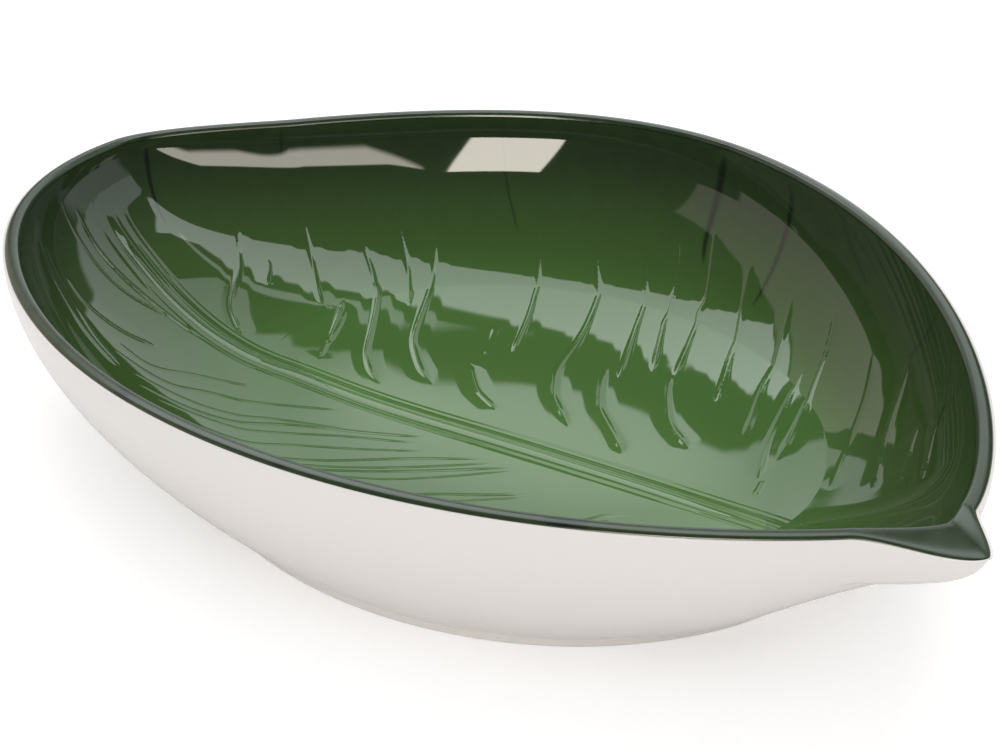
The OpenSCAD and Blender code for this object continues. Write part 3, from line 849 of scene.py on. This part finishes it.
def on_face(top, row, places):
    """Points of the face at places on it"""
    columns = top.shape[1]
    r = np.interp(places[:, 0], row, np.arange(len(row)))
    c = places[:, 1] * columns / 2
    low = np.minimum(r.astype(int), len(row) - 2)
    left = np.floor(c).astype(int)
    down, across = (r - low)[:, None], (c - left)[:, None]
    left, right = left % columns, (left + 1) % columns
    upper = top[low, left] * (1 - across) + top[low, right] * across
    lower = top[low + 1, left] * (1 - across) + top[low + 1, right] * across
    return upper * (1 - down) + lower * down


def nearest(places, course):
    """Where a course comes nearest to each place: the share of it run by then, the distance, the leg
    of the course, and the place as seen from the start of that leg"""
    ahead = course[1:] - course[:-1]
    length = np.linalg.norm(ahead, axis=1)
    run = np.concatenate([[0], np.cumsum(length)]) / length.sum()
    away = places[:, None] - course[:-1]
    share = np.clip((away * ahead).sum(2) / length ** 2, 0, 1)
    distance = np.linalg.norm(away - share[..., None] * ahead, axis=2)
    best = distance.argmin(1)
    each = np.arange(len(best))
    t = run[best] + (run[best + 1] - run[best]) * share[each, best]
    return t, distance[each, best], ahead[best], away[each, best]


def stroke(top, row, line, half, soft):
    """Profile of one line, sharp at 1 and round at 2: the rows and columns near it, and its share of
    height at each"""
    columns = top.shape[1]
    places = through(line[3:])
    low, high = places[:, 0].min() - SPARE_ROWS, places[:, 0].max() + SPARE_ROWS
    rows = np.flatnonzero((row > low) & (row < high))
    spread = SPARE_COLUMNS + int(half * max(line[1:3]) / COLUMN_GAP)
    place = places[:, 1] * columns / 2
    first, last = int(np.floor(place.min())), int(np.ceil(place.max()))
    near = np.arange(first - spread, last + spread + 1) % columns
    window = np.ix_(rows, near)
    t, distance, _, _ = nearest(top[window].reshape(-1, 3), on_face(top, row, places))
    grown = smooth(0, WIDTH_GROWN, t) * smooth(1, WIDTH_FADES, t)
    width = half * (line[1] + (line[2] - line[1]) * t) * (END_WIDTH + (1 - END_WIDTH) * grown)
    ends = smooth(0, HEIGHT_GROWN, t) * smooth(1, HEIGHT_FADES, t)
    profile = np.clip(1 - (distance / width) ** soft, 0, 1) ** 2
    return window, (profile * ends).reshape(len(rows), len(near))


def ridge(top, scale, width):
    """Share of the midrib's height at each point of the face, seen from above"""
    course = through(np.array(RIDGE) * scale)
    rise = np.zeros(top.shape[:2])
    for k, ring in enumerate(top[..., :2]):
        t, distance, leg, off = nearest(ring, course)
        across = np.sign(leg[:, 0] * off[:, 1] - leg[:, 1] * off[:, 0]) * distance / width
        for height, start, end, half in RIDGE_LINES:
            reach = (across - start - (end - start) * t) / half
            rise[k] += height * np.clip(1 - reach ** 2, 0, 1) ** 2
        rise[k] *= smooth(0, RIDGE_GROWN, t) * smooth(1, RIDGE_FADES, t)
    return rise


def embossed(top, row, relief, scale):
    """The glazed surface with its swellings, veins and midrib raised"""
    around = np.roll(top, -1, 1) - np.roll(top, 1, 1)
    down = np.gradient(top, axis=0)
    out = np.cross(down, around)
    out /= np.maximum(np.linalg.norm(out, axis=2, keepdims=True), 1e-12)
    out *= np.sign(out[..., 2:3])
    out[row >= 2] = (0, 0, 1)
    lift = np.zeros(top.shape[:2])
    for line in MAIN_VEINS:
        window, share = stroke(top, row, (line[0], 1, 1) + line[3:], relief.swell_half, 2)
        lift[window] += relief.swell_height * line[0] * share
    for line in MAIN_VEINS + FINE_VEINS:
        window, share = stroke(top, row, line, relief.vein_half, 1)
        lift[window] += relief.vein_height * line[0] * share
    lift += relief.midrib_height * ridge(top, scale, relief.midrib_width)
    lift *= smooth(0, RELIEF_STARTS, row)[:, None]
    return top + out * lift[..., None]


def folded(top, row, relief):
    """How dark the folds of the foil make each point of the face"""
    dark = np.zeros(top.shape[:2])
    for line in FOLDS:
        window, share = stroke(top, row, line, relief.fold_half, 2)
        dark[window] = np.maximum(dark[window], line[0] * np.sqrt(share))
    return dark


# Stage

# The studio, which shows in reflections alone, in degrees. Rise is above the horizon, turn is round
# from the front, and back is turn counted the other way round.

# White sweep behind the dish: its ends, how far its start leans back under a rise, and its upper
# edge with where it drops before a place and where it bends, each with a slope
SWEEP_START, SWEEP_END = 112.0, 236.0
LEAN_RISE, LEAN = 13.0, 1.75
CREST, CREST_TOP = 30.5, 50.0
CREST_DROP, CREST_DROP_SLOPE = 118.0, 2.8
CREST_BENDS = ((132.0, 1.4), (138.0, -1.4), (143.0, 1.3))
# The step down of that edge past a place: its place, run and depth
CREST_STEP, CREST_STEP_RUN, CREST_STEP_DEPTH = 155.0, 6.0, 7.0
# The sweep's lower part is dark past a place, up to a slope and at most to a rise. It comes back
# in part past another place.
DARK_START, DARK_SLOPE, DARK_RISE = 148.0, 2.0, 24.0
DARK_END, DARK_END_RUN, DARK_END_SHARE = 188.0, 12.0, 0.56
# Level of the sweep, by how much it grows past a place, and the bright spot on it
SWEEP_LEVEL = 0.65
GROWS_AT, GROWS_RUN, GROWS_BY = 120.0, 8.0, 0.25
SPOT_AT, SPOT_REACH, SPOT_RISE, SPOT_RUN, SPOT_BY = 134.5, 6.0, 23.0, 8.0, 0.55

# Dim screen to the side: its ends and top, how its far end leans out above a rise, and how its
# near end steps out above another
SCREEN_START, SCREEN_END, SCREEN_TOP = 33.0, 107.0, 41.0
SCREEN_LEAN_RISE, SCREEN_LEAN = 18.0, 0.65
SCREEN_STEP_RISE, SCREEN_STEP_RUN, SCREEN_STEP = 10.0, 4.0, 17.0

# Window overhead, in a level plane one metre up: its ends, its near and far edges with their
# slopes, and how far it reaches past the far one beyond a place. Nothing shows below a height.
WINDOW_LOW, WINDOW_SOFT = 0.30, 0.02
PANE_START, PANE_END = -1.15, 0.7
PANE_NEAR, PANE_NEAR_SLOPE = 0.202, 0.377
PANE_FAR, PANE_FAR_SLOPE = 0.48, 0.3
PANE_WIDENS_AT, PANE_WIDENS_BY = -0.02, 0.32
# The narrow window beyond it: its ends, and its edges as distances past the far edge
SLIT_START, SLIT_END = -0.8, 0.1
SLIT_NEAR, SLIT_FAR = 0.045, 0.10

# Warm card beside the camera: its ends, its top, and how it leans above a rise
CARD_START, CARD_END, CARD_TOP = 25.0, 45.0, 32.0
CARD_LEAN_RISE, CARD_LEAN = -15.0, 0.146
# Its dimmer neighbour: its ends, its top and base, and how these two change before a place and
# fall past another, each with a slope
WING_START, WING_END, WING_TOP, WING_BASE = 55.0, 80.0, 24.5, 3.0
TOP_BEND, TOP_SLOPE = 60.0, 1.2
BASE_BEND, BASE_SLOPE = 61.5, 3.5
WING_FALL, TOP_FALL_SLOPE, BASE_FALL_SLOPE = 69.0, 2.1, 2.0

# Strengths and tints in the gloss
COOL, SWEEP_LIGHT, PANE_LIGHT, SLIT_LIGHT, ROOM_LIGHT = (0.93, 1.0, 1.0), 1.25, 2.9, 1.6, 0.07
WARM, SCREEN_LIGHT, CARD_LIGHT, WING_LIGHT = (1.0, 0.93, 0.82), 0.75, 13.0, 6.5

DEGREES = 180 / math.pi
FLOOR_HALF = 6.0
# Light that the floor gives off to the camera alone, so that it shows white
FLOOR_LIFT = (0.3, 0.3, 0.3)
SENSOR_WIDTH = 36.0
CLIP_START, CLIP_END = 0.05, 50.0


class LEAFDISH_OT_stage(Operator):
    """Lay the floor, set up the light and its reflections, and place the camera"""

    bl_idname = "leafdish.stage"
    bl_label = "Stage"

    def execute(self, context):
        stage = context.scene.leaf_dish.stage
        context.scene.view_settings.view_transform = "Standard"
        lay_floor(stage)
        studio(context.scene, stage)
        add_lamp("window_softbox", place=(-0.45, 0.45, 1.5), size=(1.6, 1.0), power=9.0)
        add_lamp("front_softbox", place=(0.9, -1.2, 0.35), size=(1.2, 0.5), power=3.0)
        place_camera(context.scene, stage)
        return {"FINISHED"}


def lay_floor(stage):
    """A square floor under the dish"""
    s = FLOOR_HALF
    mesh = bpy.data.meshes.new("floor")
    mesh.from_pydata([(-s, -s, 0), (s, -s, 0), (s, s, 0), (-s, s, 0)], [], [(0, 1, 2, 3)])
    mesh.materials.append(floor_finish(stage))
    floor = bpy.data.objects.new("floor", mesh)
    bpy.context.scene.collection.objects.link(floor)


def floor_finish(stage):
    """Plain pale floor that shows white to the camera and keeps the dish's shadow"""
    material = bpy.data.materials.new("floor_white")
    nodes = Nodes(material)
    seen = Value(nodes, nodes.add("ShaderNodeLightPath").socket.node.outputs["Is Camera Ray"])
    shader = nodes.add("ShaderNodeBsdfPrincipled", {}, {
        "Base Color": colour(stage.floor), "Roughness": 0.8, "Specular IOR Level": 0.1,
        "Emission Color": nodes.mix(seen, (0, 0, 0), FLOOR_LIFT), "Emission Strength": 1.0})
    nodes.add("ShaderNodeOutputMaterial", {}, {"Surface": shader})
    return material


def white_sweep(back, rise):
    """Level of the white sweep behind the dish"""
    crest = CREST - (CREST_DROP - back).maximum(0.0) * CREST_DROP_SLOPE
    for place, slope in CREST_BENDS:
        crest = crest + back.past(place) * slope
    crest = crest.minimum(CREST_TOP) - (back - CREST_STEP).edge(CREST_STEP_RUN) * CREST_STEP_DEPTH
    start = (LEAN_RISE - rise).maximum(0.0) * LEAN + SWEEP_START
    sweep = (crest - rise).edge(1.0) * (back - start).edge(1.5)
    sweep = sweep * (SWEEP_END - back).edge(4.0)
    lit = (rise - (back - DARK_START) * DARK_SLOPE).edge(3.0) + (rise - DARK_RISE).edge(3.0)
    lit = (lit + (back - DARK_END).edge(DARK_END_RUN) * DARK_END_SHARE).clamp()
    off = (back - SPOT_AT).maximum(SPOT_AT - back)
    spot = (SPOT_REACH - off).edge(SPOT_REACH) * (rise - SPOT_RISE).edge(SPOT_RUN)
    grown = (back - GROWS_AT).edge(GROWS_RUN) * GROWS_BY
    return sweep * lit * (grown + spot * SPOT_BY + SWEEP_LEVEL)


def dim_screen(back, rise):
    """Level of the dim screen to the side"""
    step = (rise - SCREEN_STEP_RISE).edge(SCREEN_STEP_RUN) * SCREEN_STEP
    edge = rise.past(SCREEN_LEAN_RISE) * SCREEN_LEAN + SCREEN_END
    screen = (back - SCREEN_START + step).edge(2.0) * (edge - back).edge(1.0)
    return screen * (SCREEN_TOP - rise).edge(2.0)


def windows(x, y, z):
    """Level of the window overhead and of the narrow one beyond it"""
    ax, ay = x / z.maximum(0.1), y / z.maximum(0.1)
    beyond = ay + ax * PANE_FAR_SLOPE - PANE_FAR
    reach = (ax - PANE_WIDENS_AT).edge(0.1) * PANE_WIDENS_BY
    pane = (ay - ax * PANE_NEAR_SLOPE - PANE_NEAR).edge(0.015) * (reach - beyond).edge(0.02)
    pane = pane * (PANE_END - ax).edge(0.1) * (ax - PANE_START).edge(0.03)
    slit = (beyond - SLIT_NEAR).edge(0.01) * (SLIT_FAR - beyond).edge(0.01)
    slit = slit * (SLIT_END - ax).edge(0.05) * (ax - SLIT_START).edge(0.1)
    high = (z - WINDOW_LOW).edge(WINDOW_SOFT)
    return high * (pane * PANE_LIGHT + slit * SLIT_LIGHT)


def warm_cards(turn, rise):
    """Level of the warm card beside the camera and of its dimmer neighbour"""
    side = (rise - CARD_LEAN_RISE) * CARD_LEAN
    card = (turn - side - CARD_START).edge(0.7) * (side + CARD_END - turn).edge(0.7)
    card = card * (CARD_TOP - rise).edge(1.0)
    fall = turn.past(WING_FALL)
    top = (TOP_BEND - turn).maximum(0.0) * TOP_SLOPE - fall * TOP_FALL_SLOPE + WING_TOP
    base = (BASE_BEND - turn).maximum(0.0) * BASE_SLOPE - fall * BASE_FALL_SLOPE + WING_BASE
    wing = (turn - WING_START).edge(0.7) * (WING_END - turn).edge(1.0)
    wing = wing * (top - rise).edge(2.0) * (rise - base).edge(8.0)
    return card * CARD_LIGHT + wing * WING_LIGHT


def studio(scene, stage):
    """A world that is even for the light, white for the camera and a studio in the gloss"""
    world = bpy.data.worlds.new("studio")
    scene.world = world
    nodes = Nodes(world)
    rays = nodes.add("ShaderNodeLightPath").socket.node
    seen, gloss = (Value(nodes, rays.outputs[key]) for key in ("Is Camera Ray", "Is Glossy Ray"))
    way = nodes.add("ShaderNodeSeparateXYZ", {}, {0: nodes.add("ShaderNodeTexCoord", output=0)})
    x, y, z = (Value(nodes, way.socket.node.outputs[k]) for k in range(3))
    turn = x.arctan2(0.0 - y) * DEGREES
    back = (turn < 0.0) * (0.0 - turn) + (turn > 0.0) * (360.0 - turn)
    rise = z.arcsin() * DEGREES
    cool = white_sweep(back, rise) * SWEEP_LIGHT + windows(x, y, z) + ROOM_LIGHT
    warm = dim_screen(back, rise) * SCREEN_LIGHT + warm_cards(turn, rise)
    plain = seen + (1.0 - seen) * stage.daylight
    sheen, glow, even = (
        nodes.add("ShaderNodeVectorMath", {"operation": "SCALE"}, {0: tint, "Scale": strength})
        for tint, strength in ((COOL, cool), (WARM, warm), ((1, 1, 1), plain)))
    shine = nodes.add("ShaderNodeVectorMath", {"operation": "ADD"}, {0: sheen, 1: glow})
    light = nodes.mix(gloss, even, shine)
    shader = nodes.add("ShaderNodeBackground", {}, {"Color": light, "Strength": 1.0})
    nodes.add("ShaderNodeOutputWorld", {}, {"Surface": shader})


def add_lamp(name, place, size, power):
    """A soft lamp that faces the dish and stays out of the gloss"""
    light = bpy.data.lights.new(name, "AREA")
    light.shape = "RECTANGLE"
    light.size, light.size_y = size
    light.energy = power
    lamp = bpy.data.objects.new(name, light)
    bpy.context.scene.collection.objects.link(lamp)
    lamp.location = place
    lamp.rotation_euler = (-Vector(place)).to_track_quat("-Z", "Y").to_euler()
    lamp.visible_camera = False
    lamp.visible_glossy = False


def place_camera(scene, stage):
    """The camera at its distance from its target, in the direction of its two angles"""
    camera = bpy.data.cameras.new("camera")
    camera.lens = stage.lens
    camera.sensor_width = SENSOR_WIDTH
    camera.clip_start, camera.clip_end = CLIP_START, CLIP_END
    eye = bpy.data.objects.new("camera", camera)
    scene.collection.objects.link(eye)
    a, e = stage.azimuth, stage.elevation
    away = Vector((math.sin(a) * math.cos(e), -math.cos(a) * math.cos(e), math.sin(e)))
    eye.location = Vector(stage.target) + away * stage.distance
    eye.rotation_euler = (-away).to_track_quat("-Z", "Y").to_euler()
    scene.camera = eye


class LEAFDISH_PT_panel(Panel):
    """Sizes, colours and steps of the leaf dish"""

    bl_label = "Leaf Dish"
    bl_space_type = "VIEW_3D"
    bl_region_type = "UI"
    bl_category = "Leaf Dish"

    def draw(self, context):
        settings = context.scene.leaf_dish
        for title, group in (("Form", settings.form), ("Relief", settings.relief),
                             ("Finish", settings.finish), ("Stage", settings.stage)):
            box = self.layout.box()
            box.label(text=title)
            for key in group.__annotations__:
                box.prop(group, key)
        for step in STEPS:
            self.layout.operator(step.bl_idname)


STEPS = (LEAFDISH_OT_stage, LEAFDISH_OT_shell, LEAFDISH_OT_liner, LEAFDISH_OT_face)
CLASSES = (
    LEAFDISH_PG_form, LEAFDISH_PG_relief, LEAFDISH_PG_finish, LEAFDISH_PG_stage, LEAFDISH_PG_all,
    *STEPS, LEAFDISH_PT_panel)


def register():
    """Register the classes and hang the settings on the scene"""
    for cls in CLASSES:
        bpy.utils.register_class(cls)
    bpy.types.Scene.leaf_dish = PointerProperty(type=LEAFDISH_PG_all)


def unregister():
    """Take the settings and the classes away again"""
    del bpy.types.Scene.leaf_dish
    for cls in reversed(CLASSES):
        bpy.utils.unregister_class(cls)


def main():
    """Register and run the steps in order"""
    register()
    bpy.ops.leafdish.stage()
    bpy.ops.leafdish.shell()
    bpy.ops.leafdish.liner()
    bpy.ops.leafdish.face()


if __name__ == "__main__":
    main()
